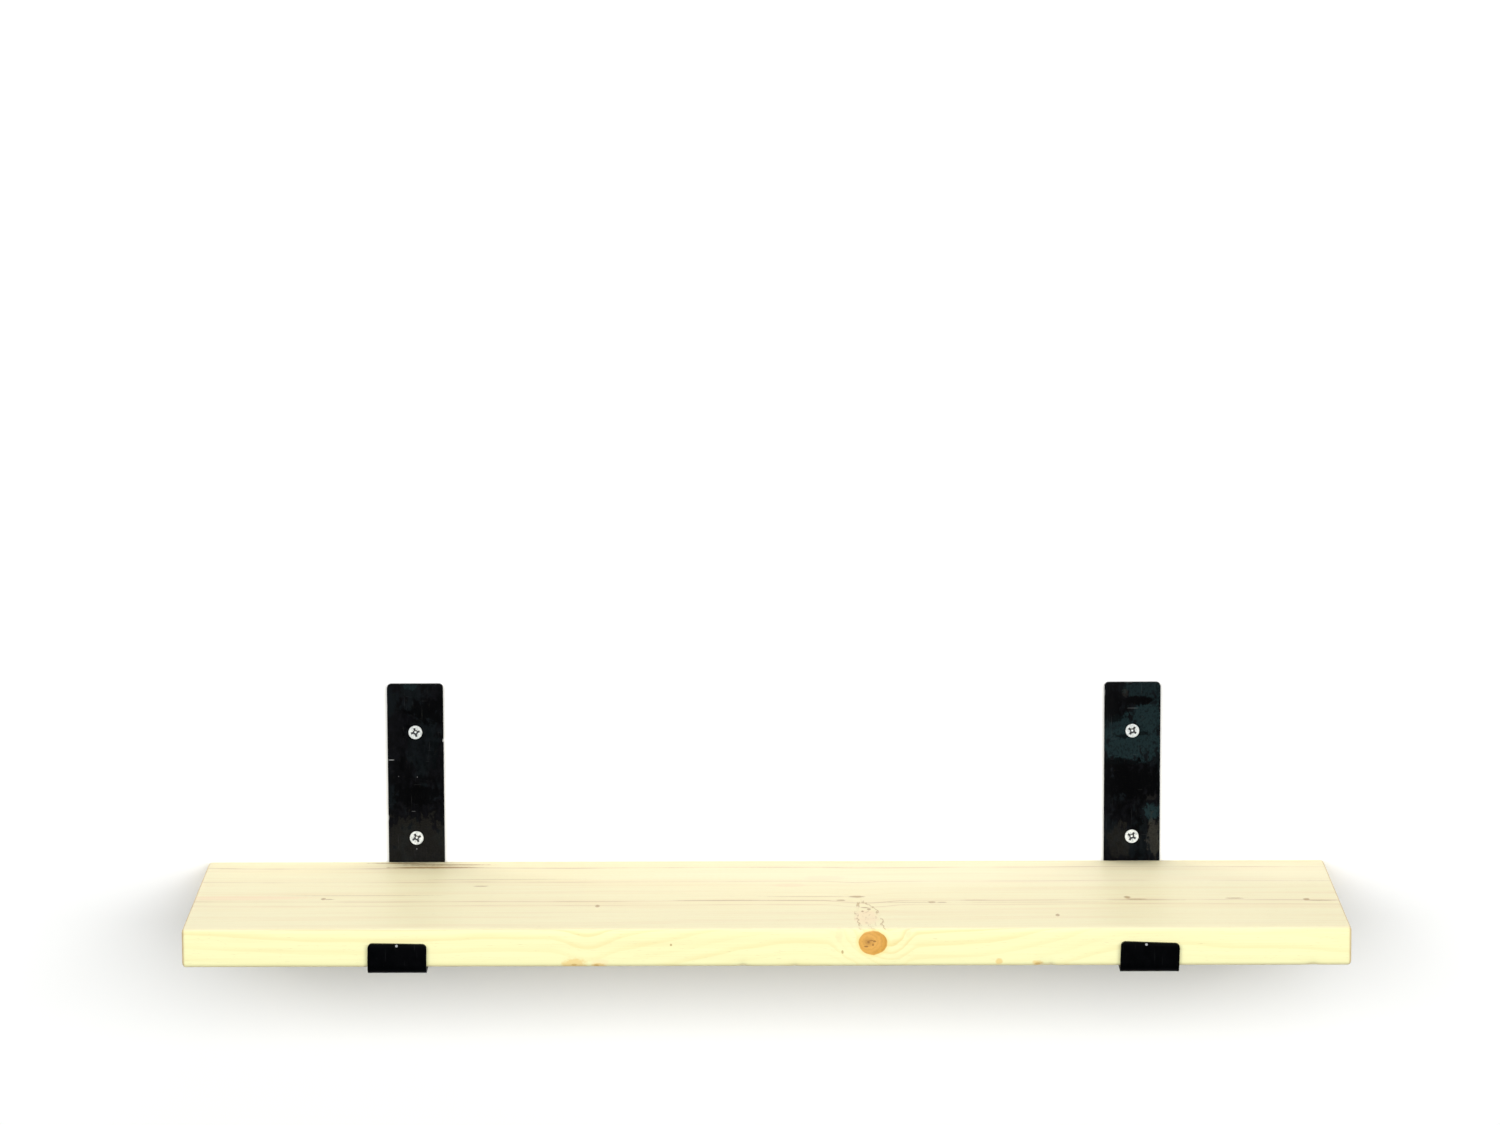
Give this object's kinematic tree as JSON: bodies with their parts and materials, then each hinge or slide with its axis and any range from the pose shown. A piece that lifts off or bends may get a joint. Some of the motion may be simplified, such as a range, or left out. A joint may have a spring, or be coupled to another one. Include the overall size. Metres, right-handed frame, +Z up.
{
  "type": "wall shelf with brackets",
  "caption": "Solid softwood board lying in lipped brackets bent from flat black steel bar, each screwed to the wall through its leg.",
  "frame": {"origin": "on the wall's face, midway between the two brackets, level with the board's top", "axes": "+Z up, +X along the shelf to the right as seen from the room, +Y into the wall"},
  "size_m": [0.8, 0.28, 0.16],
  "materials": {
    "softwood": "satin",
    "black_steel": "satin",
    "zinc_steel": "satin",
    "grey_nylon": "satin"
  },
  "bodies": {
    "root": {"shelf_board": "softwood", "bracket_left": "black_steel", "bracket_right": "black_steel", "wall_screw_upper_left": "zinc_steel", "wall_screw_lower_left": "zinc_steel", "wall_screw_upper_right": "zinc_steel", "wall_screw_lower_right": "zinc_steel", "wall_plug_upper_left": "grey_nylon", "wall_plug_lower_left": "grey_nylon", "wall_plug_upper_right": "grey_nylon", "wall_plug_lower_right": "grey_nylon", "board_screw_rear_left": "zinc_steel", "board_screw_front_left": "zinc_steel", "board_screw_rear_right": "zinc_steel", "board_screw_front_right": "zinc_steel"}
  },
  "joints": []
}
